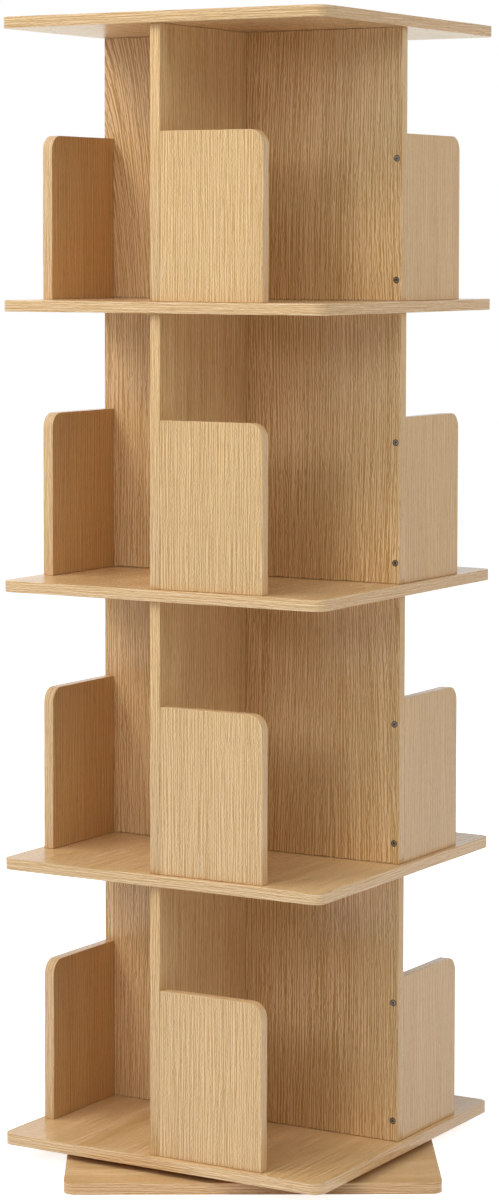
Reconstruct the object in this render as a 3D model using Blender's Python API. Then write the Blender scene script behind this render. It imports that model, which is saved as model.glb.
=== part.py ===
# Revolving bookcase: a four-tier oak-veneered carcass on a ball-bearing turntable.
# Metres, +Z up. The origin is on the swivel axis, at the underside of the base board.
# The uprights of each tier form a pinwheel: each one's inner end butts against the face of
# the next, so one upright and one book stop are drawn and then turned by quarter turns.

import math

import bmesh
import bpy
from mathutils import Vector

# Driving sizes
TIER_COUNT = 4
QUARTERS = 4
SHELF_SIDE = 0.490
SHELF_BOARD = 0.015
SHELF_CORNER_RADIUS = 0.015
TIER_CLEAR_HEIGHT = 0.360
UPRIGHT_BOARD = 0.015
UPRIGHT_SETBACK = 0.008  # from the shelf's edge to an upright's outer end
STOP_BOARD = 0.015
STOP_WIDTH = 0.154
STOP_HEIGHT = 0.221
STOP_CORNER_RADIUS = 0.020
BASE_SIDE = 0.496
BASE_BOARD = 0.015
BASE_CORNER_RADIUS = 0.016
BASE_TURN = math.radians(31.06)  # how far the base stands turned from the shelves
EASED_EDGE = 0.0008  # the small chamfer along every board's edges
EASED_STEPS = 1

# Turntable: two pressed sheet discs with a ball race between them
RACE_RADIUS = 0.135
BALL_DIAMETER = 0.0048
BALL_COUNT = 16
SHEET = 0.001
RACE_WRAP = math.radians(50)  # how far each race reaches up round a ball from its lowest point
CREST_BEND = 0.001  # bend over the race's shoulder, to the middle of the sheet
CREST_SLOPE = math.radians(45)
SHEET_BEND = 0.0009  # the other bends, to the middle of the sheet
HUB_HOLE_RADIUS = 0.012
RIM_STEP = 0.0065  # from the ball circle to the wall where the upper disc steps down
RIM_WIDTH = 0.0045
RIM_LIFT = 0.0015  # free height under the upper disc's rim
RIM_PLAY = 0.001  # sideways room between the rim's edge and the lower disc's wall
LIP_OVERLAP = 0.003  # how far the lower disc's lip reaches over the upper disc's rim
CAGE_THICKNESS = 0.0008
CAGE_WALL = 0.0009  # material left round each ball pocket
FIXING_CIRCLE_RADIUS = 0.105
FIXING_HOLE_DIAMETER = 0.0045
FIXING_COUNT = 4

# Clearances
SEAT_GAP = 0.0003  # between pieces that touch
RUNNING_CLEARANCE = 0.0003  # between pieces that move past each other

# Fineness of the round forms
SHELF_CORNER_STEPS = 8
STOP_CORNER_STEPS = 6
TURNED_STEPS = 48
RACE_STEPS = 2
BEND_STEPS = 2
POCKET_SIDES = 16
FIXING_SIDES = 12
BALL_DIVISIONS = 2
SMOOTH_ANGLE = math.radians(35)
BEVEL_ANGLE = math.radians(60)  # edges sharper than this are eased
MERGE_DISTANCE = 0.00001
CUTTER_OVERRUN = 0.004  # how far a cutter reaches past what it cuts, at each end

# Sizes that follow
SHELF_HALF = SHELF_SIDE / 2
UPRIGHT_REACH = SHELF_HALF - UPRIGHT_SETBACK
BALL_RADIUS = BALL_DIAMETER / 2
TURNTABLE_HEIGHT = 2 * SHEET + BALL_DIAMETER + 2 * RUNNING_CLEARANCE
TURNTABLE_BOTTOM = BASE_BOARD + SEAT_GAP
BALL_CENTRE = TURNTABLE_HEIGHT / 2  # above the turntable's bottom
CARCASS_BOTTOM = TURNTABLE_BOTTOM + TURNTABLE_HEIGHT + SEAT_GAP
RIM_HEIGHT = SHEET + RIM_LIFT + SHEET / 2  # middle of the upper disc's rim
TIER_PITCH = SHELF_BOARD + TIER_CLEAR_HEIGHT
QUARTER_TURN = 2 * math.pi / QUARTERS


def clear_scene():
    for old in list(bpy.data.objects):
        bpy.data.objects.remove(old, do_unlink=True)


def finish(name, colour, roughness, metallic=0.0):
    material = bpy.data.materials.new(name)
    material.use_nodes = True
    shader = material.node_tree.nodes["Principled BSDF"]
    shader.inputs["Base Color"].default_value = (*colour, 1.0)
    shader.inputs["Roughness"].default_value = roughness
    shader.inputs["Metallic"].default_value = metallic
    return material


def empty(name, height=0.0, parent=None):
    marker = bpy.data.objects.new(name, None)
    marker.location = (0.0, 0.0, height)
    marker.parent = parent
    bpy.context.scene.collection.objects.link(marker)
    return marker


def place(name, mesh, parent, location=(0.0, 0.0, 0.0), turn=0.0):
    piece = bpy.data.objects.new(name, mesh)
    piece.parent = parent
    piece.location = location
    piece.rotation_euler = (0.0, 0.0, turn)
    bpy.context.scene.collection.objects.link(piece)
    return piece


def mesh_from(shape, name, material):
    bmesh.ops.recalc_face_normals(shape, faces=shape.faces[:])
    mesh = bpy.data.meshes.new(name)
    shape.to_mesh(mesh)
    shape.free()
    mesh.materials.append(material)
    return mesh


def shade_round(mesh):
    mesh.shade_smooth()
    mesh.set_sharp_from_angle(angle=SMOOTH_ANGLE)


def outline(corners, steps):
    """Points of a right-angled outline whose corners are given as (across, up, radius)."""
    points = []
    count = len(corners)
    for number, (across, up, radius) in enumerate(corners):
        corner = Vector((across, up))
        if radius == 0.0:
            points.append(corner)
            continue
        back = (Vector(corners[number - 1][:2]) - corner).normalized()
        onward = (Vector(corners[(number + 1) % count][:2]) - corner).normalized()
        centre = corner + radius * (back + onward)
        for step in range(steps + 1):
            angle = step / steps * math.pi / 2
            points.append(centre - radius * (onward * math.cos(angle) + back * math.sin(angle)))
    return points


def flat_board(name, side, corner_radius, thickness, material):
    """A square board that lies flat on its underside, with round corners."""
    half = side / 2
    corners = [(across * half, along * half, corner_radius)
               for across, along in ((-1, -1), (1, -1), (1, 1), (-1, 1))]
    shape = bmesh.new()
    rim = [shape.verts.new((p.x, p.y, 0.0)) for p in outline(corners, SHELF_CORNER_STEPS)]
    face = shape.faces.new(rim)
    extrude(shape, face, Vector((0.0, 0.0, thickness)))
    return mesh_from(shape, name, material)


def standing_board(name, corners, front, thickness, material):
    """A board whose outline stands in the XZ plane and whose thickness runs from front towards +Y."""
    shape = bmesh.new()
    rim = [shape.verts.new((p.x, front, p.y)) for p in outline(corners, STOP_CORNER_STEPS)]
    face = shape.faces.new(rim)
    extrude(shape, face, Vector((0.0, thickness, 0.0)))
    return mesh_from(shape, name, material)


def extrude(shape, face, travel):
    grown = bmesh.ops.extrude_face_region(shape, geom=[face])["geom"]
    moved = [item for item in grown if isinstance(item, bmesh.types.BMVert)]
    bmesh.ops.translate(shape, verts=moved, vec=travel)


def ease_edges(piece):
    bevel = piece.modifiers.new("eased edges", "BEVEL")
    bevel.width = EASED_EDGE
    bevel.segments = EASED_STEPS
    bevel.limit_method = "ANGLE"
    bevel.angle_limit = BEVEL_ANGLE


def arc(centre, radius, start, end, steps):
    """Points (radius from the axis, height) along an arc, both ends included."""
    angles = [start + (end - start) * step / steps for step in range(steps + 1)]
    return [(centre[0] + radius * math.cos(a), centre[1] + radius * math.sin(a)) for a in angles]


def race_shoulder(leaving_slope):
    """The middle of the sheet from the race's lowest point out over its shoulder.

    The race follows the ball at its running clearance, then the shoulder bends the sheet
    back until it falls at the leaving slope."""
    bend = BALL_RADIUS + RUNNING_CLEARANCE + SHEET / 2
    centre = (RACE_RADIUS, BALL_CENTRE)
    race = arc(centre, bend, -math.pi / 2, RACE_WRAP - math.pi / 2, RACE_STEPS)
    reach = bend + CREST_BEND
    crest_centre = (centre[0] + reach * math.sin(RACE_WRAP), centre[1] - reach * math.cos(RACE_WRAP))
    start = math.pi / 2 + RACE_WRAP
    crest = arc(crest_centre, CREST_BEND, start, math.pi / 2 - leaving_slope, BEND_STEPS)
    return race + crest[1:]


def foot_of_slope(point):
    """Where the sheet, falling from that point at the crest's slope, meets the flat of the disc."""
    return (point[0] + (point[1] - SHEET / 2) / math.tan(CREST_SLOPE), SHEET / 2)


def inner_half():
    """The flat from the hub hole to the race and the race's inner half, from the axis outward."""
    outward = race_shoulder(CREST_SLOPE)
    outward.append(foot_of_slope(outward[-1]))
    inward = [(2 * RACE_RADIUS - radius, height) for radius, height in reversed(outward)]
    return [(HUB_HOLE_RADIUS, SHEET / 2)] + inward[:-1]


def lower_profile():
    """The lower disc: flat, race, flat again, wall and a lip folded inward over the upper disc's rim."""
    outer = race_shoulder(CREST_SLOPE)
    wall = RACE_RADIUS + RIM_STEP + RIM_WIDTH + RIM_PLAY + SHEET / 2
    lip = RIM_HEIGHT + SHEET + RUNNING_CLEARANCE
    bend_centre = wall - SHEET_BEND
    quarter = math.pi / 2
    outer.append(foot_of_slope(outer[-1]))
    outer += arc((bend_centre, SHEET / 2 + SHEET_BEND), SHEET_BEND, -quarter, 0.0, BEND_STEPS)
    outer += arc((bend_centre, lip - SHEET_BEND), SHEET_BEND, 0.0, quarter, BEND_STEPS)
    outer.append((RACE_RADIUS + RIM_STEP + RIM_WIDTH - LIP_OVERLAP, lip))
    return inner_half() + outer


def upper_profile():
    """The upper disc, drawn face down: flat, race, then a step and a rim that runs under the lip."""
    outer = race_shoulder(0.0)
    shoulder_height = outer[-1][1]
    step_wall = RACE_RADIUS + RIM_STEP
    rim = TURNTABLE_HEIGHT - RIM_HEIGHT
    quarter = math.pi / 2
    outer += arc((step_wall - SHEET_BEND, shoulder_height + SHEET_BEND), SHEET_BEND,
                 -quarter, 0.0, BEND_STEPS)
    outer += arc((step_wall + SHEET_BEND, rim - SHEET_BEND), SHEET_BEND, math.pi, quarter, BEND_STEPS)
    outer.append((step_wall + RIM_WIDTH, rim))
    return [(radius, TURNTABLE_HEIGHT - height) for radius, height in inner_half() + outer]


def pressed_disc(name, profile, parent, material, first_hole):
    """A profile turned round the axis, given the sheet's thickness and pierced for its fixing screws."""
    mesh = bpy.data.meshes.new(name)
    edges = [(number, number + 1) for number in range(len(profile) - 1)]
    mesh.from_pydata([(radius, 0.0, height) for radius, height in profile], edges, [])
    mesh.materials.append(material)
    disc = place(name, mesh, parent)
    turned = disc.modifiers.new("turned", "SCREW")
    turned.axis = "Z"
    turned.angle = 2 * math.pi
    turned.steps = TURNED_STEPS
    turned.render_steps = TURNED_STEPS
    turned.use_merge_vertices = True
    turned.merge_threshold = MERGE_DISTANCE
    turned.use_smooth_shade = True
    sheet = disc.modifiers.new("sheet", "SOLIDIFY")
    sheet.thickness = SHEET
    sheet.offset = 0.0
    sheet.use_even_offset = True
    holes = drills(name + "_drills", parent, FIXING_HOLE_DIAMETER / 2, FIXING_SIDES, FIXING_CIRCLE_RADIUS,
                   FIXING_COUNT, first_hole, TURNTABLE_HEIGHT)
    cut(disc, holes)
    return disc


def drills(name, parent, radius, sides, circle, count, first, height):
    """A ring of upright cylinders that cut holes right through a disc of that height."""
    shape = bmesh.new()
    for number in range(count):
        made = bmesh.ops.create_cone(shape, cap_ends=True, segments=sides, radius1=radius, radius2=radius,
                                     depth=height + 2 * CUTTER_OVERRUN)
        angle = first + 2 * math.pi * number / count
        centre = Vector((circle * math.cos(angle), circle * math.sin(angle), height / 2))
        bmesh.ops.translate(shape, verts=made["verts"], vec=centre)
    bmesh.ops.recalc_face_normals(shape, faces=shape.faces[:])
    mesh = bpy.data.meshes.new(name)
    shape.to_mesh(mesh)
    shape.free()
    cutter = place(name, mesh, parent)
    cutter.hide_render = True
    cutter.display_type = "WIRE"
    return cutter


def cut(piece, cutter):
    boolean = piece.modifiers.new("holes", "BOOLEAN")
    boolean.operation = "DIFFERENCE"
    boolean.solver = "EXACT"
    boolean.object = cutter


def ball_cage(parent, material):
    """A flat ring at the balls' middle height, with a round pocket for each ball."""
    pocket = BALL_RADIUS + RUNNING_CLEARANCE
    inner = RACE_RADIUS - pocket - CAGE_WALL
    outer = RACE_RADIUS + pocket + CAGE_WALL
    low = BALL_CENTRE - CAGE_THICKNESS / 2
    shape = bmesh.new()
    corners = [(inner, low), (outer, low), (outer, low + CAGE_THICKNESS), (inner, low + CAGE_THICKNESS)]
    verts = [shape.verts.new((radius, 0.0, height)) for radius, height in corners]
    edges = [shape.edges.new((verts[n], verts[(n + 1) % len(verts)])) for n in range(len(verts))]
    bmesh.ops.spin(shape, geom=verts + edges, cent=(0.0, 0.0, 0.0), axis=(0.0, 0.0, 1.0),
                   angle=2 * math.pi, steps=TURNED_STEPS, use_merge=True)
    mesh = mesh_from(shape, "turntable_ball_cage", material)
    cage = place("turntable_ball_cage", mesh, parent)
    cut(cage, drills("pocket_drills", parent, pocket, POCKET_SIDES, RACE_RADIUS, BALL_COUNT, 0.0,
                     TURNTABLE_HEIGHT))
    return cage


def balls(parent, material):
    shape = bmesh.new()
    bmesh.ops.create_icosphere(shape, subdivisions=BALL_DIVISIONS, radius=BALL_RADIUS)
    mesh = mesh_from(shape, "turntable_ball", material)
    shade_round(mesh)
    for number in range(BALL_COUNT):
        angle = 2 * math.pi * number / BALL_COUNT
        centre = (RACE_RADIUS * math.cos(angle), RACE_RADIUS * math.sin(angle), BALL_CENTRE)
        place(f"turntable_ball_{number + 1:02d}", mesh, parent, centre, angle)


def build_stand(oak, steel):
    """What stays still: the base board and the turntable's lower disc."""
    body = empty("stand")
    mesh = flat_board("base_board", BASE_SIDE, BASE_CORNER_RADIUS, BASE_BOARD, oak)
    ease_edges(place("base_board", mesh, body, turn=BASE_TURN))
    seat = empty("turntable_seat", TURNTABLE_BOTTOM, body)
    pressed_disc("turntable_lower_disc", lower_profile(), seat, steel, QUARTER_TURN / 2)


def build_rolling_set(nylon, steel):
    """The cage and its balls, which roll round at half the carcass's turn."""
    body = empty("rolling_set", TURNTABLE_BOTTOM)
    ball_cage(body, nylon)
    balls(body, steel)


def build_shelves(body, oak):
    mesh = flat_board("shelf", SHELF_SIDE, SHELF_CORNER_RADIUS, SHELF_BOARD, oak)
    for number in range(TIER_COUNT + 1):
        name = "top_shelf" if number == TIER_COUNT else f"shelf_{number + 1}"
        ease_edges(place(name, mesh, body, (0.0, 0.0, number * TIER_PITCH)))


def upright_mesh(oak):
    """One upright: it runs out along +X from the side of the next upright to near the shelf's edge."""
    low = SEAT_GAP
    high = TIER_CLEAR_HEIGHT - SEAT_GAP
    corners = [(SEAT_GAP, low, 0.0), (UPRIGHT_REACH, low, 0.0),
               (UPRIGHT_REACH, high, 0.0), (SEAT_GAP, high, 0.0)]
    return standing_board("upright", corners, -UPRIGHT_BOARD, UPRIGHT_BOARD, oak)


def stop_mesh(oak):
    """One book stop, drawn across the front: its left end butts on the side of the upright that
    runs along -Y, and its free upper corner is round."""
    near = SEAT_GAP
    free = near + STOP_WIDTH
    corners = [(near, SEAT_GAP, 0.0), (free, SEAT_GAP, 0.0), (free, STOP_HEIGHT, STOP_CORNER_RADIUS),
               (near, STOP_HEIGHT, 0.0)]
    return standing_board("book_stop", corners, -UPRIGHT_REACH, STOP_BOARD, oak)


def build_tiers(body, oak_upright, oak_stop):
    upright = upright_mesh(oak_upright)
    stop = stop_mesh(oak_stop)
    for tier in range(TIER_COUNT):
        floor = empty(f"tier_{tier + 1}_floor", tier * TIER_PITCH + SHELF_BOARD, body)
        for quarter in range(QUARTERS):
            stop_turn = quarter * QUARTER_TURN
            label = f"{tier + 1}_{quarter + 1}"
            ease_edges(place("upright_" + label, upright, floor, turn=stop_turn - QUARTER_TURN))
            ease_edges(place("book_stop_" + label, stop, floor, turn=stop_turn))


def build_carcass(oak_shelf, oak_upright, oak_stop, steel):
    """What turns: the turntable's upper disc, the shelves, and the uprights and stops of each tier."""
    body = empty("carcass", CARCASS_BOTTOM)
    disc_seat = empty("upper_disc_seat", TURNTABLE_BOTTOM - CARCASS_BOTTOM, body)
    pressed_disc("turntable_upper_disc", upper_profile(), disc_seat, steel, 0.0)
    build_shelves(body, oak_shelf)
    build_tiers(body, oak_upright, oak_stop)


def build():
    clear_scene()
    oak_shelf = finish("oak veneer, shelf", (0.68, 0.47, 0.26), 0.45)
    oak_upright = finish("oak veneer, upright", (0.62, 0.42, 0.23), 0.5)
    oak_stop = finish("oak veneer, book stop", (0.65, 0.44, 0.25), 0.5)
    oak_base = finish("oak veneer, base", (0.64, 0.43, 0.23), 0.45)
    zinc = finish("zinc-plated sheet", (0.62, 0.62, 0.60), 0.35, 1.0)
    ball_steel = finish("polished ball steel", (0.75, 0.75, 0.76), 0.12, 1.0)
    nylon = finish("natural nylon", (0.82, 0.80, 0.74), 0.55)
    build_stand(oak_base, zinc)
    build_rolling_set(nylon, ball_steel)
    build_carcass(oak_shelf, oak_upright, oak_stop, zinc)


build()
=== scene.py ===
import math
import bpy
import numpy as np
from mathutils import Matrix, Vector


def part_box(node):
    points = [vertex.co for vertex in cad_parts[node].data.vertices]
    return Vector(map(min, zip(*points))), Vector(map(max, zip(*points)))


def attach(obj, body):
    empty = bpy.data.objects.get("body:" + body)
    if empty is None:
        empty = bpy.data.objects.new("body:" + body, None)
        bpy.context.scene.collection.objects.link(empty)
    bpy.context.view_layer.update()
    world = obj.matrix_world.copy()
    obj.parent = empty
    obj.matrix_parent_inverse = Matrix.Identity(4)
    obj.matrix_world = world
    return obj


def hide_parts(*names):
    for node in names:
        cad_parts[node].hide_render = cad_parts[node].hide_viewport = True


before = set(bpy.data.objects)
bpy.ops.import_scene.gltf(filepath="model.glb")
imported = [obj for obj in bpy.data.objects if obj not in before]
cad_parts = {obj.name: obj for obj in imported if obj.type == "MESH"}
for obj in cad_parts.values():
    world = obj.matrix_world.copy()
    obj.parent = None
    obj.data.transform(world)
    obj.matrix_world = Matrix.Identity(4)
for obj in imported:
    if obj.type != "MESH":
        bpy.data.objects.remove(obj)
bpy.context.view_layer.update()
print("frame loaded:", len(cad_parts), "nodes")

tierCount = 4
quarterCount = 4
quarterTurn = math.pi / 2
fullTurn = 2 * math.pi


# Sockets and nodes

class Wire:
    # An output socket that can stand in a sum: each operator adds one Math node behind it
    def __init__(self, graph, socket):
        self.graph = graph
        self.socket = socket

    def beside(self, key):
        # Another output of the same node
        return Wire(self.graph, self.socket.node.outputs[key])

    def maths(self, operation, first, second):
        return self.graph.add("ShaderNodeMath", {"operation": operation}, {0: first, 1: second})

    def __add__(self, other):
        return self.maths("ADD", self, other)

    def __radd__(self, other):
        return self.maths("ADD", other, self)

    def __sub__(self, other):
        return self.maths("SUBTRACT", self, other)

    def __rsub__(self, other):
        return self.maths("SUBTRACT", other, self)

    def __mul__(self, other):
        return self.maths("MULTIPLY", self, other)

    def __rmul__(self, other):
        return self.maths("MULTIPLY", other, self)

    def __pow__(self, other):
        return self.maths("POWER", self, other)


class Graph:
    # The nodes of one material or world. add() takes a node's type, its settings and the values
    # or links of its sockets.
    def __init__(self, owner):
        self.owner = owner
        owner.use_nodes = True
        self.tree = owner.node_tree
        self.tree.nodes.clear()

    def add(self, kind, settings=None, inputs=None, output=0):
        node = self.tree.nodes.new(kind)
        for key, value in (settings or {}).items():
            setattr(node, key, value)
        for key, value in (inputs or {}).items():
            if isinstance(value, Wire):
                self.tree.links.new(value.socket, node.inputs[key])
            else:
                node.inputs[key].default_value = value
        return Wire(self, node.outputs[output]) if len(node.outputs) else None

    def rayKinds(self):
        rays = self.add("ShaderNodeLightPath")
        return [rays.beside(f"Is {kind} Ray") for kind in ("Camera", "Glossy", "Transmission")]

    def uvPair(self, layer):
        # The two measures that a UV map holds
        place = self.add("ShaderNodeUVMap", {"uv_map": layer})
        split = self.add("ShaderNodeSeparateXYZ", {}, {0: place})
        return split, split.beside(1)

    def objectPlace(self):
        return self.add("ShaderNodeTexCoord", output=3)

    def noise(self, across, along, cells, field):
        # Noise stretched along the grain: cells to the metre across and along it. The field is the
        # offset across, the finer octaves added and their strength.
        offset, octaves, strength = field
        place = self.add("ShaderNodeCombineXYZ", {}, {
            0: across * cells[0] + offset, 1: along * cells[1]})
        return self.add("ShaderNodeTexNoise", {"noise_dimensions": "2D"}, {
            "Vector": place, "Scale": 1.0, "Detail": octaves, "Roughness": strength})

    def step(self, value, low, high):
        # 0 below low, 1 above high, smooth between
        return self.add("ShaderNodeMapRange", {"interpolation_type": "SMOOTHSTEP"}, {
            "Value": value, "From Min": low, "From Max": high})

    def mix(self, factor, first, second, blend="MIX"):
        return self.add("ShaderNodeMix", {"data_type": "RGBA", "blend_type": blend}, {
            0: factor, 6: first, 7: second}, output=2)

    def bump(self, height, strength, distance):
        return self.add("ShaderNodeBump", {}, {
            "Strength": strength, "Distance": distance, "Height": height})

    def surface(self, shader, kind="Material"):
        self.add("ShaderNodeOutput" + kind, {}, {"Surface": shader})
        return self.owner


def materialGraph(name):
    return Graph(bpy.data.materials.new(name))


def colour(red, green, blue):
    # A colour as seen on a screen, 0 to 255, to the linear numbers that shaders take
    shares = np.array((red, green, blue)) / 255
    curve = ((shares + 0.055) / 1.055) ** 2.4
    return (*np.where(shares <= 0.04045, shares / 12.92, curve), 1.0)


def link(thing):
    bpy.context.scene.collection.objects.link(thing)


# Camera, floor and light

cameraPlace = {
    "position": (2.25927, -3.88534, 1.23545),
    "turn": math.radians(30.33),  # from looking along +Y towards -X
    "dip": math.radians(3.479),
    "roll": math.radians(0.087),
    "focalLength": 99.18,  # mm
    "sensor": 36.0,  # the picture's long side, mm
    "shift": (0.00575, -0.1275),  # shares of the picture's long side
    "clip": (0.1, 100.0),
}


def makeCamera():
    place = cameraPlace
    data = bpy.data.cameras.new("camera")
    data.sensor_width = place["sensor"]
    data.lens = place["focalLength"]
    data.shift_x, data.shift_y = place["shift"]
    data.clip_start, data.clip_end = place["clip"]
    camera = bpy.data.objects.new("camera", data)
    level = Matrix.Rotation(quarterTurn - place["dip"], 4, "X")
    spin = Matrix.Rotation(place["roll"], 4, "Z")
    heading = Matrix.Rotation(place["turn"], 4, "Z")
    camera.matrix_world = Matrix.Translation(place["position"]) @ heading @ level @ spin
    link(camera)
    bpy.context.scene.camera = camera


largeLamp = (2.4, 3.6)  # width and height, in metres
smallLamp = (1.0, 1.0)

studio = {
    "floorHalf": 14.0,
    "floorDrop": 0.0005,  # how far the floor lies under the object's underside
    "floorGrey": 0.90,
    "floorGlow": (0.80, 1.0),  # white added to what the camera sees of the floor, near and far
    "shadowReach": (0.6, 2.2),  # the distances between which that rises, in metres
    "floorMirrored": 0.85,  # white added to the floor as the lacquer mirrors it
    "worldLight": 0.005,
    "white": (1.0, 1.0, 1.0, 1.0),
    "aim": (0.0, 0.0, 0.75),
    "lampDistance": 5.0,
    "lamps": {
        # direction from the aim, size, watts of red, green and blue light
        "leftHigh": ((-0.612, -0.354, 0.707), largeLamp, (102.2, 101.9, 101.7)),
        "key": ((-0.354, -0.612, 0.707), smallLamp, (53.5, 52.6, 52.3)),
        "overhead": ((-0.187, -0.324, 0.927), largeLamp, (12.4, 12.1, 12.0)),
        "frontHigh": ((0.0, -0.707, 0.707), largeLamp, (41.2, 48.8, 52.7)),
        "frontMiddle": ((-0.161, -0.913, 0.375), smallLamp, (14.7, 16.7, 22.9)),
        "frontLow": ((0.0, -0.956, 0.292), smallLamp, (29.4, 32.0, 37.1)),
        "rightHigh": ((0.354, -0.612, 0.707), largeLamp, (20.9, 28.8, 32.6)),
        "sideHigh": ((0.612, -0.354, 0.707), largeLamp, (45.8, 51.2, 56.6)),
        "sideLow": ((0.98, 0.05, 0.30), largeLamp, (45.9, 45.9, 45.9)),
        "backLow": ((0.75, 0.70, 0.30), largeLamp, (37.7, 32.2, 27.9)),
    },
}


def makeWorld():
    # White to the camera, to mirrors and through glass, and dim to everything else
    world = bpy.data.worlds.new("studio")
    bpy.context.scene.world = world
    graph = Graph(world)
    camera, glossy, through = graph.rayKinds()
    seen = camera.maths("MAXIMUM", camera, glossy.maths("MAXIMUM", glossy, through))
    dim, white = (
        graph.add("ShaderNodeBackground", {}, {"Color": studio["white"], "Strength": strength})
        for strength in (studio["worldLight"], 1.0))
    graph.surface(graph.add("ShaderNodeMixShader", {}, {0: seen, 1: dim, 2: white}), "World")


def makeFloor():
    half = studio["floorHalf"]
    mesh = bpy.data.meshes.new("floor")
    corners = [(-half, -half, 0), (half, -half, 0), (half, half, 0), (-half, half, 0)]
    mesh.from_pydata(corners, [], [(0, 1, 2, 3)])
    floor = bpy.data.objects.new("floor", mesh)
    floor.location = (0.0, 0.0, -studio["floorDrop"])
    link(floor)
    graph = materialGraph("pale floor")
    grey = studio["floorGrey"]
    matt = graph.add("ShaderNodeBsdfDiffuse", {}, {"Color": (grey, grey, grey, 1.0)})
    camera, glossy, through = graph.rayKinds()
    place = graph.objectPlace()
    away = graph.add("ShaderNodeVectorMath", {"operation": "LENGTH"}, {0: place}, output=1)
    low, high = studio["floorGlow"]
    share = graph.step(away, *studio["shadowReach"]) * (high - low) + low
    glow = graph.add("ShaderNodeEmission", {}, {
        "Color": studio["white"],
        "Strength": camera * share + (glossy + through) * studio["floorMirrored"]})
    mesh.materials.append(graph.surface(graph.add("ShaderNodeAddShader", {}, {0: matt, 1: glow})))


def makeLamps():
    for name, (direction, size, watts) in studio["lamps"].items():
        data = bpy.data.lights.new(name, "AREA")
        data.shape = "RECTANGLE"
        data.size, data.size_y = size
        data.energy = max(watts)
        data.color = tuple(share / max(watts) for share in watts)
        lamp = bpy.data.objects.new(name, data)
        away = Vector(direction).normalized()
        lamp.location = Vector(studio["aim"]) + studio["lampDistance"] * away
        lamp.rotation_euler = away.to_track_quat("Z", "Y").to_euler()
        lamp.visible_camera = False
        lamp.visible_glossy = False
        link(lamp)


bpy.context.scene.view_settings.view_transform = "Standard"
makeCamera()
makeWorld()
makeFloor()
makeLamps()
print("camera, floor and lights made")


# Oak veneer

veneer = {
    "tone": colour(213, 174, 121),  # the wood's middle colour
    "light": (1.20, 1.30, 1.54, 1.0),  # shares of it in the lightest streaks
    "dark": (0.74, 0.61, 0.37, 1.0),  # and in the darkest
    "contrast": 1.25,
    # The streaks: cells to the metre across and along the grain, and strength
    "rings": (520.0, 5.0, 1.0),
    "lines": (900.0, 15.0, 1.2),
    "dashes": (800.0, 200.0, 0.55),
    "bands": (42.0, 1.4, 0.25),
    "spacing": 0.0015,  # a streak's dark side lies this far from its light side, in metres
    "wander": 0.0018,  # how far the streaks sway to each side, in metres
    "sway": (8.0, 3.0),  # cells of that swaying
    "lean": 0.0,  # the same two for the slow leaning of whole flanks
    "flanks": (5.0, 1.7),
    "arches": None,  # a flat-cut figure's middle, across and along from the corner, and narrowness
    "warm": (1.03, 0.97, 0.88, 1.0),  # tint of the broad warm bands
    "warmLimits": (0.45, 0.75),  # values of the bands between which it comes in
    "warmShare": 0.4,
    "pore": (0.62, 0.52, 0.40, 1.0),
    "pores": (1500.0, 60.0),
    "poreLimits": (0.60, 0.74),
    "poreFade": (0.35, 0.75),  # values of the streaks between which pores fade out
    "poreShare": 0.7,
    "clouds": (5.0, 2.0),
    "cloudLight": (0.97, 0.12),  # middle brightness and spread of the clouds
    "chippedShadeLine": None,  # height of the dark line at a board's foot, in metres: painted shade where the board meets the next, with a chipped edge
    "length": None,  # the board's length, where that line is also at its head
    "chips": (420.0, 300.0),
    "chipMiddle": 0.42,
    "chipReach": 4.0,  # how far chips waver, in heights of the line
    # colour and strength of that line of painted shade
    "chippedShadeColour": (0.30, 0.22, 0.15, 1.0),
    "chippedShadeShare": 0.85,
    "relief": 0.6,  # height of the streaks, with the pores' depth as 1
    "bump": (0.3, 0.000006),  # strength and distance
    "roughness": 0.27,
    "glossSpread": 0.08,  # how much rougher the dark streaks are than the light ones
    "lacquer": 1.0,  # share of a smooth clear coat's mirror strength
    "index": 1.48,  # its index of refraction
    "mirror": (1.0, 1.0, 1.0, 1.0),  # its tint
    "dullEdge": 0.35,  # how much of the mirror strength is lost at a grazing angle
}

# Each noise's offset across, the finer octaves added and their strength
noiseFields = {
    "sway": (3.7, 1.0, 0.5),
    "flanks": (6.6, 0.0, 0.5),
    "rings": (1.7, 1.0, 0.6),
    "lines": (4.0, 1.0, 0.6),
    "dashes": (6.3, 1.0, 0.6),
    "bands": (9.1, 2.0, 0.5),
    "pores": (1.9, 0.0, 0.5),
    "clouds": (5.3, 1.0, 0.5),
    "chips": (4.4, 1.0, 0.5),
}


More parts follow.
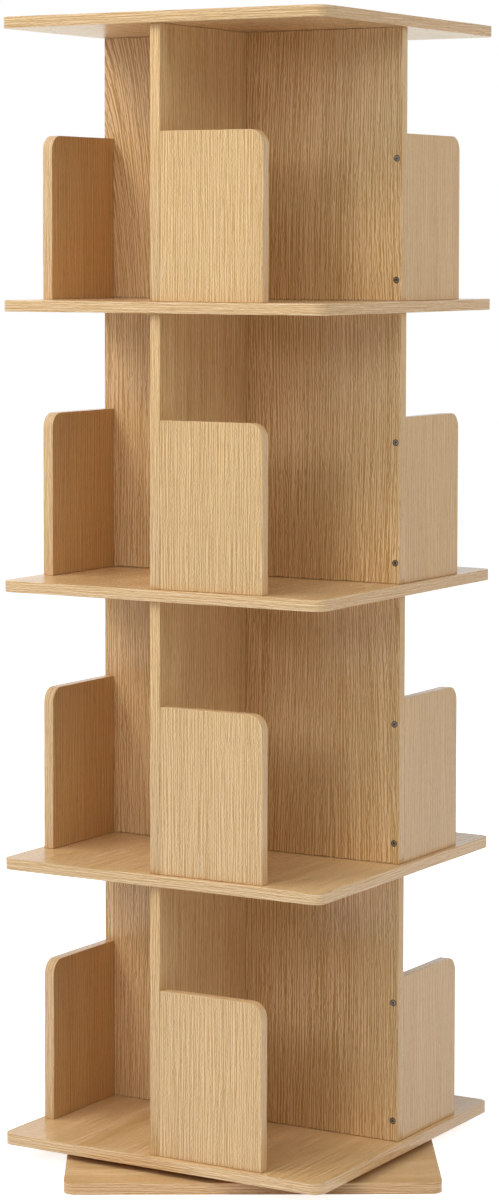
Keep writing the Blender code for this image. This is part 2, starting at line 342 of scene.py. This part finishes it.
def oakVeneer(name, changes=None):
    # The UV map "grain" holds metres: across the grain, then along it. The map "place" holds
    # metres from the board's corner.
    values = {**veneer, **(changes or {})}
    graph = materialGraph(name)
    across, along = graph.uvPair("grain")

    def layer(key, sideways):
        return graph.noise(sideways, along, values[key], noiseFields[key])

    if values["arches"]:
        # Flat-cut figure: across becomes the distance from its middle, with the length squeezed
        middle, foot, narrow = values["arches"]
        placeAcross, placeAlong = graph.uvPair("place")
        aside = placeAcross - middle
        upward = (placeAlong - foot) * narrow
        across = (aside * aside + upward * upward) ** 0.5
    across = across + (layer("sway", across) - 0.5) * (2 * values["wander"])
    if values["lean"]:
        across = across + (layer("flanks", across) - 0.5) * (2 * values["lean"])

    streak = 0.0
    for key in ("rings", "lines", "dashes"):
        beside = across + values["spacing"]
        streak = streak + (layer(key, across) - layer(key, beside)) * values[key][2]
    bands = layer("bands", across)
    streak = 0.5 + (streak + (bands - 0.5) * values["bands"][2]) * values["contrast"]
    pores = graph.step(layer("pores", across), *values["poreLimits"])
    tint = graph.mix(graph.step(streak, 0.0, 1.0), values["dark"], values["light"])
    warmed = graph.mix(1.0, tint, values["warm"], "MULTIPLY")
    tint = graph.mix(graph.step(bands, *values["warmLimits"]) * values["warmShare"], tint, warmed)
    fade = 1.0 - graph.step(streak, *values["poreFade"])
    tint = graph.mix(pores * fade * values["poreShare"], tint, values["pore"])
    if values["chippedShadeLine"]:
        # Painted shade at the joint with the next board: a dark line whose height wavers with
        # noise, like chips along the cut
        line = values["chippedShadeLine"]
        foot = graph.uvPair("place")[1]
        if values["length"]:
            foot = foot.maths("MINIMUM", foot, values["length"] - foot)
        waver = (layer("chips", across) - values["chipMiddle"]) * (values["chipReach"] * line)
        cut = 1.0 - graph.step(foot - waver, 0.5 * line, line)
        tint = graph.mix(cut * values["chippedShadeShare"], tint, values["chippedShadeColour"])
    body = graph.mix(1.0, tint, values["tone"], "MULTIPLY")
    mean, spread = values["cloudLight"]
    light = mean + (layer("clouds", across) - 0.5) * spread
    grey = graph.add("ShaderNodeCombineXYZ", {}, {0: light, 1: light, 2: light})
    body = graph.mix(1.0, body, grey, "MULTIPLY")

    normal = graph.bump(streak * values["relief"] - pores, *values["bump"])
    gloss = values["roughness"] + (0.5 - streak) * values["glossSpread"]
    wood = graph.add("ShaderNodeBsdfPrincipled", {}, {
        "Base Color": body, "Roughness": gloss, "Normal": normal, "Specular IOR Level": 0.0})
    lacquer = graph.add("ShaderNodeBsdfGlossy", {}, {
        "Color": values["mirror"], "Roughness": gloss, "Normal": normal})
    fresnel = graph.add("ShaderNodeFresnel", {}, {"IOR": values["index"]})
    share = fresnel * (1.0 - fresnel * values["dullEdge"]) * values["lacquer"]
    return graph.surface(graph.add("ShaderNodeMixShader", {}, {0: share, 1: wood, 2: lacquer}))


# Surfaces from arrays

def surfaceMesh(name, points, faces, smooth, materials, materialOf=0, uvMaps=None):
    # points: rows of x, y, z. faces: arrays of point numbers, a row to a face. uvMaps: a row to
    # each corner of a face, in the same order.
    corners = np.concatenate([rows.ravel() for rows in faces]).astype(np.int32)
    sizes = np.concatenate([np.full(len(rows), rows.shape[1]) for rows in faces])
    starts = np.concatenate(([0], np.cumsum(sizes)[:-1])).astype(np.int32)
    count = len(sizes)
    mesh = bpy.data.meshes.new(name)
    mesh.vertices.add(len(points))
    mesh.vertices.foreach_set("co", np.asarray(points, np.float32).ravel())
    mesh.loops.add(len(corners))
    mesh.loops.foreach_set("vertex_index", corners)
    mesh.polygons.add(count)
    mesh.polygons.foreach_set("loop_start", starts)
    mesh.polygons.foreach_set("use_smooth", np.broadcast_to(smooth, count).astype(bool))
    mesh.polygons.foreach_set("material_index", np.broadcast_to(materialOf, count).astype(np.int32))
    for layerName, uv in (uvMaps or {}).items():
        layer = mesh.uv_layers.new(name=layerName)
        layer.data.foreach_set("uv", uv.astype(np.float32).ravel())
    mesh.update(calc_edges=True)
    mesh.validate()
    for material in materials:
        mesh.materials.append(material)
    return mesh


def gridFaces(rows, columns, rowsClose, columnsClose):
    # Quads of a grid of points numbered row by row; a closed way joins its last line to its first
    row, column = np.meshgrid(np.arange(rows if rowsClose else rows - 1),
                              np.arange(columns if columnsClose else columns - 1), indexing="ij")
    below, onward = (row + 1) % rows, (column + 1) % columns
    return np.stack((row * columns + column, row * columns + onward,
                     below * columns + onward, below * columns + column), axis=-1).reshape(-1, 4)


def circleAngles(count):
    return np.linspace(0.0, fullTurn, count, endpoint=False)


def aroundAxis(radius, angle, height):
    # x and y are the radius times the cosine and sine of the angle, z is the height
    places = np.broadcast_arrays(radius * np.cos(angle), radius * np.sin(angle), height)
    return np.stack(places, axis=-1)


def putPiece(name, mesh, body, nodes=()):
    piece = bpy.data.objects.new(name, mesh)
    link(piece)
    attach(piece, body)
    if nodes:
        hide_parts(*nodes)


# Boards

boardShape = {
    "arris": 0.0005,  # radius of every board's eased edges
    "corner": 0.0008,  # least radius at an outline's corners
    "shelfCorner": 0.015,
    "baseCorner": 0.016,
    "stopCorner": 0.020,
    "baseSide": 0.496,
    "baseTurn": math.radians(31.06),
    "arrisSteps": 4,
    "cornerSteps": {"shelf": 10, "base": 10, "stop": 8, "upright": 2},
    # Which part of the sheet of veneer each board is cut from
    "seedStep": (0.731, 1.937),  # how far apart two cuts lie
    "edgeCut": (0.3, 0.0),  # how far the edge's cut and the underside's lie from the upper face's
    "undersideCut": (0.9, 0.4),
    "seeds": {"shelf": 1, "base": 11, "stop": 20, "upright": 24},
    "seedsPerTier": 8,
}

shelfFigure = {
    "tone": colour(221, 181, 128), "contrast": 1.3, "spacing": 0.0019,
    "rings": (330.0, 5.0, 0.85), "lines": (850.0, 13.0, 1.5), "bands": (38.0, 1.3, 0.75),
}
uprightFigure = {
    # a dark line at the foot and head is painted shade where the upright meets the shelves
    "contrast": 2.85, "wander": 0.002, "lean": 0.014, "chippedShadeLine": 0.0009, "length": 0.36,
    "rings": (520.0, 5.0, 1.1), "lines": (900.0, 11.0, 1.3), "dashes": (900.0, 75.0, 0.8),
    "bands": (55.0, 1.4, 0.45),
}
bandFigure = {
    "contrast": 0.85, "wander": 0.0008,
    "rings": (520.0, 9.0, 0.7), "dashes": (800.0, 120.0, 0.6),
}
paleBand = {**bandFigure, "tone": colour(217, 179, 130)}
boardVeneers = {
    # for each kind of board, the changes to the veneer on its faces and on its edges
    "shelves": (shelfFigure, paleBand),
    "uprights": (uprightFigure, bandFigure),
    # the stops' feet carry a line of painted shade
    "stops": ({"chippedShadeLine": 0.0005}, paleBand),
    "base": (shelfFigure, {**bandFigure, "tone": colour(214, 169, 117)}),
}
ownFaces = {
    # boards with faces of their own: the material's name and its changes
    "top_shelf": ("oak on top board", {
        **shelfFigure, "mirror": (1.0, 0.945, 0.84, 1.0), "dullEdge": 0.14}),
    "upright_4_4": ("oak on uprights, flat cut", {
        **uprightFigure, "contrast": 2.3, "arches": (0.262, -0.1, 0.17), "lean": 0.012}),
}


def outlineOf(width, height, radii, steps):
    # A rectangle about the origin with round corners: each corner's arc is its centre plus radius
    # times (cos, sin) of angles over a quarter turn. Gives points, outward ways and path length.
    signs = np.array([(-1, -1), (1, -1), (1, 1), (-1, 1)], float)
    radii = np.asarray(radii, float)
    centres = signs * (np.array((width, height)) / 2 - radii[:, None])
    starts = np.radians([180.0, 270.0, 0.0, 90.0])
    angles = starts[:, None] + np.linspace(0.0, quarterTurn, steps + 1)[None, :]
    outward = np.stack((np.cos(angles), np.sin(angles)), axis=-1)
    points = centres[:, None, :] + radii[:, None, None] * outward
    points, outward = points.reshape(-1, 2), outward.reshape(-1, 2)
    runs = np.linalg.norm(np.roll(points, -1, axis=0) - points, axis=1)
    return points, outward, np.concatenate(([0.0], np.cumsum(runs)))


def edgeProfile(thickness, arris, steps):
    # Round the edge from the upper face to the lower: inset is arris times (1 - cos), the rise
    # follows the sine, with the flat of the edge between the two quarter circles.
    upper = np.linspace(quarterTurn, 0.0, steps + 1)
    turn = np.concatenate((upper, -upper[::-1]))
    inset = arris * (1 - np.cos(turn))
    level = np.repeat((1.0, -1.0), steps + 1) * (thickness / 2 - arris)
    rise = level + arris * np.sin(turn)
    length = np.concatenate(([0.0], np.cumsum(np.hypot(np.diff(inset), np.diff(rise)))))
    return inset, rise, length


def board(node, axes, radii, cornerSteps, seed, materials, body, side=None):
    # The edge profile carried round the outline as one grid, closed by the two flat faces. The
    # axes are the ways across the face, along it and through it. A side that is given stands for
    # the width and height, which otherwise come from the node's box.
    shape = boardShape
    low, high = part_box(node)
    axes = np.array(axes, float)
    width, height, thickness = abs(axes @ np.array(high - low))
    if side:
        width = height = side
    points, outward, path = outlineOf(width, height, radii, cornerSteps)
    inset, rise, girth = edgeProfile(thickness, shape["arris"], shape["arrisSteps"])
    rows, columns = len(inset), len(points)
    flat = points[None, :, :] - outward[None, :, :] * inset[:, None, None]
    level = np.broadcast_to(rise[:, None, None], (rows, columns, 1))
    local = np.concatenate((flat, level), axis=2).reshape(-1, 3)
    places = local @ axes + np.array((low + high) / 2)

    row, column = np.meshgrid(np.arange(rows - 1), np.arange(columns), indexing="ij")
    onward = (column + 1) % columns
    quads = np.stack((row * columns + column, (row + 1) * columns + column,
                      (row + 1) * columns + onward, row * columns + onward), axis=-1).reshape(-1, 4)
    top = np.arange(columns)
    bottom = (rows - 1) * columns + top[::-1]
    isEdge = np.repeat((1, 0), (len(quads), 2))

    # Grain: across is the way round the edge and along the way along it. On a face both lie in
    # its plane.
    here, there = path[column], path[column + 1]
    alongEdge = np.stack((here, here, there, there), axis=-1)
    acrossEdge = np.stack((girth[row], girth[row + 1], girth[row + 1], girth[row]), axis=-1)
    edgeUv = np.stack((acrossEdge, alongEdge), axis=-1).reshape(-1, 2) + shape["edgeCut"]
    grain = np.concatenate((edgeUv, local[top, :2], local[bottom, :2] + shape["undersideCut"]))
    corners = np.concatenate((quads.ravel(), top, bottom))
    uvMaps = {
        "grain": grain + seed * np.array(shape["seedStep"]),
        "place": local[corners, :2] + np.array((width, height)) / 2,
    }
    name = node + "_veneered"
    faces = (quads, np.stack((top, bottom)))
    mesh = surfaceMesh(name, places, faces, isEdge == 1, materials, isEdge, uvMaps)
    putPiece(name, mesh, body, [node])


def turnedAxes(turn):
    # The way out at this angle and the way square to it, both level
    return (math.cos(turn), math.sin(turn), 0.0), (math.sin(turn), -math.cos(turn), 0.0)


def makeBoards():
    shape = boardShape
    least, steps, seeds = shape["corner"], shape["cornerSteps"], shape["seeds"]
    stopRadii = (least, least, shape["stopCorner"], least)
    materials = {
        kind: (oakVeneer("oak on " + kind, face), oakVeneer("oak edge band on " + kind, edge))
        for kind, (face, edge) in boardVeneers.items()}
    own = {node: oakVeneer(name, changes) for node, (name, changes) in ownFaces.items()}

    def dress(kind, node):
        face, edge = materials[kind]
        return [own.get(node, face), edge]

    up = (0.0, 0.0, 1.0)
    shelves = [f"shelf_{number}" for number in range(1, tierCount + 1)] + ["top_shelf"]
    for seed, node in enumerate(shelves, seeds["shelf"]):
        board(node, ((1, 0, 0), (0, 1, 0), up), [shape["shelfCorner"]] * 4, steps["shelf"],
              seed, dress("shelves", node), "carcass")
    alongFront, towardsFront = turnedAxes(shape["baseTurn"])
    board("base_board", (towardsFront, alongFront, up), [shape["baseCorner"]] * 4, steps["base"],
          seeds["base"], dress("base", "base_board"), "stand", shape["baseSide"])
    for tier in range(1, tierCount + 1):
        for quarter in range(quarterCount):
            label = f"{tier}_{quarter + 1}"
            seed = shape["seedsPerTier"] * tier + quarter
            out, through = turnedAxes(quarter * quarterTurn)
            node = "book_stop_" + label
            board(node, (out, up, through), stopRadii, steps["stop"],
                  seeds["stop"] + seed, dress("stops", node), "carcass")
            out, through = turnedAxes((quarter - 1) * quarterTurn)
            node = "upright_" + label
            board(node, (out, up, through), [least] * 4, steps["upright"],
                  seeds["upright"] + seed, dress("uprights", node), "carcass")


makeBoards()
print("boards made")


# Metal and nylon

metals = {
    # the two tones, roughness, and cells of the clouds to the metre
    "zinc": ((172, 173, 172), (140, 142, 146), 0.38, 260.0),
    "ball": ((205, 205, 208), (188, 188, 192), 0.12, 900.0),
    "screw": ((168, 166, 160), (132, 130, 124), 0.34, 1400.0),
    # a dark metal for a screw's cross recess and rim: painted shade
    "screwPaintedShade": ((72, 68, 62), (52, 48, 44), 0.5, 1400.0),
}

plating = {
    "octaves": (3.0, 1.0),  # of the clouds and of the fine roughness
    "finer": 5.0,  # how much finer the second is
    "toneLimits": (0.35, 0.65),
    "bump": (0.15, 0.00002),
    "glossSpread": 0.16,
}

nylon = {
    "base": colour(232, 226, 208),
    "shade": colour(214, 206, 184),
    "scale": 320.0,
    "octaves": 2.0,
    "toneLimits": (0.3, 0.7),
    "bump": (0.2, 0.00003),
    "roughness": 0.5,
    "glossSpread": 0.1,
}


def clouds(graph, scale, octaves):
    return graph.add("ShaderNodeTexNoise", {}, {
        "Vector": graph.objectPlace(), "Scale": scale, "Detail": octaves})


def metal(name, kind):
    # Plating: two close tones in clouds, and a fine noise that varies the gloss
    base, spots, roughness, scale = metals[kind]
    graph = materialGraph(name)
    broad = clouds(graph, scale, plating["octaves"][0])
    fine = clouds(graph, plating["finer"] * scale, plating["octaves"][1])
    tone = graph.step(broad, *plating["toneLimits"])
    shader = graph.add("ShaderNodeBsdfPrincipled", {}, {
        "Base Color": graph.mix(tone, colour(*base), colour(*spots)),
        "Metallic": 1.0,
        "Roughness": roughness + (fine - 0.5) * plating["glossSpread"],
        "Normal": graph.bump(fine, *plating["bump"])})
    return graph.surface(shader)


def nylonMaterial(name):
    graph = materialGraph(name)
    mottle = clouds(graph, nylon["scale"], nylon["octaves"])
    tone = graph.step(mottle, *nylon["toneLimits"])
    shader = graph.add("ShaderNodeBsdfPrincipled", {}, {
        "Base Color": graph.mix(tone, nylon["base"], nylon["shade"]),
        "Roughness": nylon["roughness"] + (mottle - 0.5) * nylon["glossSpread"],
        "Normal": graph.bump(mottle, *nylon["bump"])})
    return graph.surface(shader)


# Turntable

turntable = {
    "raceRadius": 0.135,
    "ball": 0.0048,
    "ballCount": 16,
    "sheet": 0.001,
    "raceWrap": math.radians(50),  # how far each race reaches up round a ball
    "crestBend": 0.001,
    "crestSlope": math.radians(45),
    "sheetBend": 0.0009,
    "hubHole": 0.012,
    "rimStep": 0.0065,
    "rimWidth": 0.0045,
    "rimLift": 0.0015,
    "rimPlay": 0.001,
    "lipOverlap": 0.003,
    "clearance": 0.0003,
    "cageThickness": 0.0008,
    "cageWall": 0.0009,
    "bottom": 0.0153,  # height of the lower disc's underside
    "sharpAngle": math.radians(50),
    "bendSteps": 6,
    "turnSteps": 192,
    "ballSteps": (17, 32),  # rows from pole to pole and points round each
    "ballPole": 0.02,  # angle of the small hole left at each pole
    "sectorSteps": (14, 4),  # along the side of a cage sector and across its end
    "sectorRows": (0.0, 0.35, 1.0),  # shares of the way from the pocket to the sector's edge
}
turntableHeight = 2 * turntable["sheet"] + turntable["ball"] + 2 * turntable["clearance"]
ballLevel = turntable["bottom"] + turntableHeight / 2


def arcPoints(centre, radius, start, end):
    # The centre plus the radius times (cos, sin) of angles from start to end
    angles = np.linspace(start, end, turntable["bendSteps"] + 1)
    return np.array(centre) + radius * np.stack((np.cos(angles), np.sin(angles)), axis=-1)


def raceShoulder(leavingSlope):
    # Middle of the sheet from the race's lowest point, round the ball and back over the shoulder
    values = turntable
    bend = values["ball"] / 2 + values["clearance"] + values["sheet"] / 2
    centre = np.array((values["raceRadius"], turntableHeight / 2))
    wrap = values["raceWrap"]
    race = arcPoints(centre, bend, -quarterTurn, wrap - quarterTurn)
    crest = centre + (bend + values["crestBend"]) * np.array((math.sin(wrap), -math.cos(wrap)))
    over = arcPoints(crest, values["crestBend"], quarterTurn + wrap, quarterTurn - leavingSlope)
    return np.concatenate((race, over[1:]))


def slopeFoot(point):
    half = turntable["sheet"] / 2
    return np.array([(point[0] + (point[1] - half) / math.tan(turntable["crestSlope"]), half)])


def innerHalf():
    outward = raceShoulder(turntable["crestSlope"])
    outward = np.concatenate((outward, slopeFoot(outward[-1])))
    inward = outward[::-1] * (-1, 1) + (2 * turntable["raceRadius"], 0)
    return np.concatenate(([(turntable["hubHole"], turntable["sheet"] / 2)], inward[:-1]))


def discProfiles():
    # The sheet's middle line of the lower disc and of the upper one, from the hub outward
    values = turntable
    half, bend = values["sheet"] / 2, values["sheetBend"]
    rimHeight = values["sheet"] + values["rimLift"] + half
    stepWall = values["raceRadius"] + values["rimStep"]
    rimEdge = stepWall + values["rimWidth"]
    wall = rimEdge + values["rimPlay"] + half
    lip = rimHeight + values["sheet"] + values["clearance"]
    outer = raceShoulder(values["crestSlope"])
    lower = np.concatenate((innerHalf(), outer, slopeFoot(outer[-1]),
                            arcPoints((wall - bend, half + bend), bend, -quarterTurn, 0.0),
                            arcPoints((wall - bend, lip - bend), bend, 0.0, quarterTurn),
                            [(rimEdge - values["lipOverlap"], lip)]))
    outer = raceShoulder(0.0)
    rim, shoulder = turntableHeight - rimHeight, outer[-1][1]
    upper = np.concatenate((innerHalf(), outer,
                            arcPoints((stepWall - bend, shoulder + bend), bend, -quarterTurn, 0.0),
                            arcPoints((stepWall + bend, rim - bend), bend, math.pi, quarterTurn),
                            [(rimEdge, rim)]))
    upper[:, 1] = turntableHeight - upper[:, 1]
    return lower, upper


def sheetOutline(profile, thickness):
    # Each point of the middle line moved half the thickness to both sides, along the bisector of
    # the two lines that meet there, then closed round the sheet's two ends.
    ways = np.diff(profile, axis=0)
    ways /= np.linalg.norm(ways, axis=1)[:, None]
    before, after = np.concatenate((ways[:1], ways)), np.concatenate((ways, ways[-1:]))
    middle = before + after
    middle /= np.linalg.norm(middle, axis=1)[:, None]
    stretch = 1 / np.maximum(0.5, (middle * before).sum(axis=1))
    side = np.stack((-middle[:, 1], middle[:, 0]), axis=-1) * (stretch * thickness / 2)[:, None]
    return np.concatenate((profile + side, (profile - side)[::-1]))


def makeDisc(name, profile, node, body, material):
    # The sheet's outline turned round the axis
    edge = sheetOutline(profile, turntable["sheet"])
    heights = edge[:, 1:] + turntable["bottom"]
    points = aroundAxis(edge[:, :1], circleAngles(turntable["turnSteps"]), heights)
    faces = gridFaces(*points.shape[:2], True, True)
    mesh = surfaceMesh(name, points.reshape(-1, 3), [faces], True, [material])
    mesh.set_sharp_from_angle(angle=turntable["sharpAngle"])
    putPiece(name, mesh, body, [node])


def makeCage(material):
    # One sector of the flat ring per ball: each ray runs from the pocket's circle to the sector's
    # edge, and the sector's width runs round the axis by its angle.
    values = turntable
    pocket = values["ball"] / 2 + values["clearance"]
    half = pocket + values["cageWall"]
    span = math.pi / values["ballCount"] * values["raceRadius"]
    sideSteps, endSteps = values["sectorSteps"]
    along = np.linspace(-span, span, sideSteps, endpoint=False)
    across = np.linspace(-half, half, endSteps, endpoint=False)
    edge = np.concatenate((
        np.stack((np.full(sideSteps, half), along), axis=-1),
        np.stack((-across, np.full(endSteps, span)), axis=-1),
        np.stack((np.full(sideSteps, -half), -along), axis=-1),
        np.stack((across, np.full(endSteps, -span)), axis=-1)))
    angle = np.arctan2(edge[:, 1], edge[:, 0])
    circle = pocket * np.stack((np.cos(angle), np.sin(angle)), axis=-1)
    share = np.array(values["sectorRows"])[:, None, None]
    flat = circle * (1 - share) + edge * share
    low = ballLevel - values["cageThickness"] / 2
    layers = np.concatenate((flat[::-1], flat))
    heights = np.repeat((low, low + values["cageThickness"]), len(share))[:, None]
    radius = values["raceRadius"] + layers[..., 0]
    points, faces = [], []
    for number, start in enumerate(circleAngles(values["ballCount"])):
        turn = start + layers[..., 1] / values["raceRadius"]
        points.append(aroundAxis(radius, turn, heights).reshape(-1, 3))
        faces.append(gridFaces(*radius.shape, True, True) + number * radius.size)
    name = "turntable_cage_moulded"
    mesh = surfaceMesh(name, np.concatenate(points), faces, False, [material])
    putPiece(name, mesh, "rolling_set", ["turntable_ball_cage"])


def makeBalls(material):
    # Spheres: the radius times sines and cosines of the polar and the round angle
    values = turntable
    rows, columns = values["ballSteps"]
    polar = np.linspace(0.0, math.pi, rows)[:, None]
    polar[0], polar[-1] = values["ballPole"], math.pi - values["ballPole"]
    unit = aroundAxis(np.sin(polar), circleAngles(columns), np.cos(polar))
    centres = aroundAxis(values["raceRadius"], circleAngles(values["ballCount"]), ballLevel)
    points = (centres[:, None, None, :] + unit * values["ball"] / 2).reshape(-1, 3)
    one = gridFaces(rows, columns, False, True)[:, ::-1]
    faces = [one + number * rows * columns for number in range(len(centres))]
    mesh = surfaceMesh("turntable_balls", points, faces, True, [material])
    nodes = [f"turntable_ball_{number:02d}" for number in range(1, values["ballCount"] + 1)]
    putPiece("turntable_balls", mesh, "rolling_set", nodes)


def makeTurntable():
    zinc = metal("zinc plating", "zinc")
    lower, upper = discProfiles()
    makeDisc("turntable_lower_pressed", lower, "turntable_lower_disc", "stand", zinc)
    makeDisc("turntable_upper_pressed", upper, "turntable_upper_disc", "carcass", zinc)
    makeCage(nylonMaterial("natural nylon"))
    makeBalls(metal("ball steel", "ball"))


makeTurntable()
print("turntable made")


# Screws

screws = {
    "head": 0.0040,  # radius of a head
    "proud": 0.00025,  # how far a stop screw's head stands off the board
    "crown": 0.00015,  # how much higher its middle is
    "sunk": 0.0002,  # how far its side goes into the board
    "rimDrop": 0.00025,  # how far the rounded rim falls
    "rimStart": 0.88,  # share of the radius at which that starts
    "recess": 0.0003,  # depth of a stop screw's cross, which stays above the uncut board
    "fixingRecess": 0.0011,
    "arm": 0.0021,  # half length of the cross
    "armWidth": 0.00048,
    "armTaper": (1.35, 0.5),  # share of that width at the middle, and what is lost of it at the tip
    "sideWall": 0.00022,  # width of the sloping walls along the arms and at their tips
    "tipWall": 0.0003,
    "floorRise": 0.45,  # share of the depth lost at the tips
    "crossRows": (0.02, 0.62, 18),  # first and last share of the radius, and number of rows
    "rimRows": (0.70, 1.0, 6),
    "shadedRimRows": 3,  # rows of faces at the rim that take the dark metal: painted shade of the countersink gap
    "around": 72,
    "sharpAngle": math.radians(40),
    "ring": 0.00045,  # width of the dark ring round a head, painted shade of the countersink
    "ringRows": (0.0, 0.4, 1.0),  # shares of it
    "ringLift": (0.00002, 0.00006, 0.00003),  # and how far above the board each lies
    # the ring's dark brown: painted shade
    "countersinkShadeTone": colour(84, 62, 42),
    "fromStopEnd": 0.0075,
    "heights": (0.028, 0.188),  # above the shelf
    "reach": 0.237,
    "board": 0.015,
    "firstShelfTop": 0.038,
    "pitch": 0.375,
    "fixingCircle": 0.105,
    "fixingCount": 4,  # to each disc
    "fixingHead": 0.0017,
    "scatterSeed": 7,
}


def headPoints(height, recessDepth):
    # A round head about the origin, facing +Z. The rim rises to the crown; the cross is sunk where
    # the nearer of its two axes lies within the arm's width and the farther within its length.
    values = screws
    rows = [np.linspace(*values[key]) for key in ("crossRows", "rimRows")]
    share = np.concatenate(rows)[:, None]
    flat = aroundAxis(share * values["head"], circleAngles(values["around"]), 0.0)
    near, far = abs(flat[..., :2]).min(axis=-1), abs(flat[..., :2]).max(axis=-1)
    wide, taper = values["armTaper"]
    reach = far / values["arm"]
    width = values["armWidth"] * (wide - taper * reach)
    inside = (np.clip((width - near) / values["sideWall"] + 0.5, 0, 1)
              * np.clip((values["arm"] - far) / values["tipWall"] + 0.5, 0, 1))
    rimShare = np.clip(share - values["rimStart"], 0, 1) / (1 - values["rimStart"])
    rise = height + values["crown"] * (1 - share ** 2) - values["rimDrop"] * rimShare
    depth = recessDepth * (1 - values["floorRise"] * reach)
    top = flat + (rise - inside * depth)[..., None] * (0, 0, 1)
    side = flat[-1:] - (0, 0, values["sunk"])
    return np.concatenate((top, side)), inside


def ringPoints():
    # A dark ring round a head, drawn just above the board: painted shade of the countersink gap
    radius = screws["head"] + np.array(screws["ringRows"])[:, None] * screws["ring"]
    return aroundAxis(radius, circleAngles(screws["around"]), np.array(screws["ringLift"])[:, None])


def screwSet(name, places, height, recess, body, materials, hasRing):
    # places: rows of (centre, way it faces, turn of its cross)
    head, inside = headPoints(height, recess)
    rows, columns = head.shape[:2]
    # Faces in the cross's recess and at the rim take the dark metal: painted shade
    dark = np.zeros((rows - 1, columns), int)
    dark[:-1] = inside[:-1] + inside[1:] > 1.0
    dark[-screws["shadedRimRows"]:] = 1
    parts = [(head, dark.ravel())]
    if hasRing:
        ring = ringPoints()
        parts.append((ring, np.full((len(ring) - 1) * columns, 2)))
    points, faces, finish = [], [], []
    start = 0
    for centre, facing, turn in places:
        aim = Vector(facing).to_track_quat("Z", "X").to_matrix()
        rotation = np.array(aim @ Matrix.Rotation(turn, 3, "Z"))
        for grid, materialOf in parts:
            points.append(grid.reshape(-1, 3) @ rotation.T + np.array(centre))
            faces.append(gridFaces(*grid.shape[:2], False, True)[:, ::-1] + start)
            finish.append(materialOf)
            start += grid[..., 0].size
    mesh = surfaceMesh(name, np.concatenate(points), faces, True, materials, np.concatenate(finish))
    mesh.set_sharp_from_angle(angle=screws["sharpAngle"])
    putPiece(name, mesh, body)


def makeScrews():
    values = screws
    plated = metal("screw plating", "screw")
    # the second metal is painted shade in the cross and at the rim
    rim = metal("screw painted shade", "screwPaintedShade")
    # the ring round each stop screw's head is painted countersink shade
    pressed = oakVeneer("oak painted countersink shade", {"tone": values["countersinkShadeTone"]})
    scatter = np.random.default_rng(values["scatterSeed"])
    places = []
    for tier in range(tierCount):
        for quarter in range(quarterCount):
            out, through = turnedAxes(quarter * quarterTurn)
            inset = values["reach"] - values["fromStopEnd"]
            spot = -values["board"] * np.array(out) + inset * np.array(through)
            facing = (-out[0], -out[1], 0.0)
            for height in values["heights"]:
                level = values["firstShelfTop"] + tier * values["pitch"] + height
                places.append((spot + (0, 0, level), facing, scatter.uniform(0, quarterTurn)))
    screwSet("stop_screws", places, values["proud"], values["recess"], "carcass",
             [plated, rim, pressed], True)
    underside, top = turntable["bottom"], turntable["bottom"] + turntableHeight
    for name, first, level, facing, body in (
            ("turntable_screws_lower", math.pi / 4, underside + turntable["sheet"], 1.0, "stand"),
            ("turntable_screws_upper", 0.0, top - turntable["sheet"], -1.0, "carcass")):
        turns = first + circleAngles(values["fixingCount"])
        places = [(centre, (0.0, 0.0, facing), scatter.uniform(0, quarterTurn))
                  for centre in aroundAxis(values["fixingCircle"], turns, level)]
        screwSet(name, places, values["fixingHead"], values["fixingRecess"], body,
                 [plated, rim], False)


makeScrews()
print("screws made")
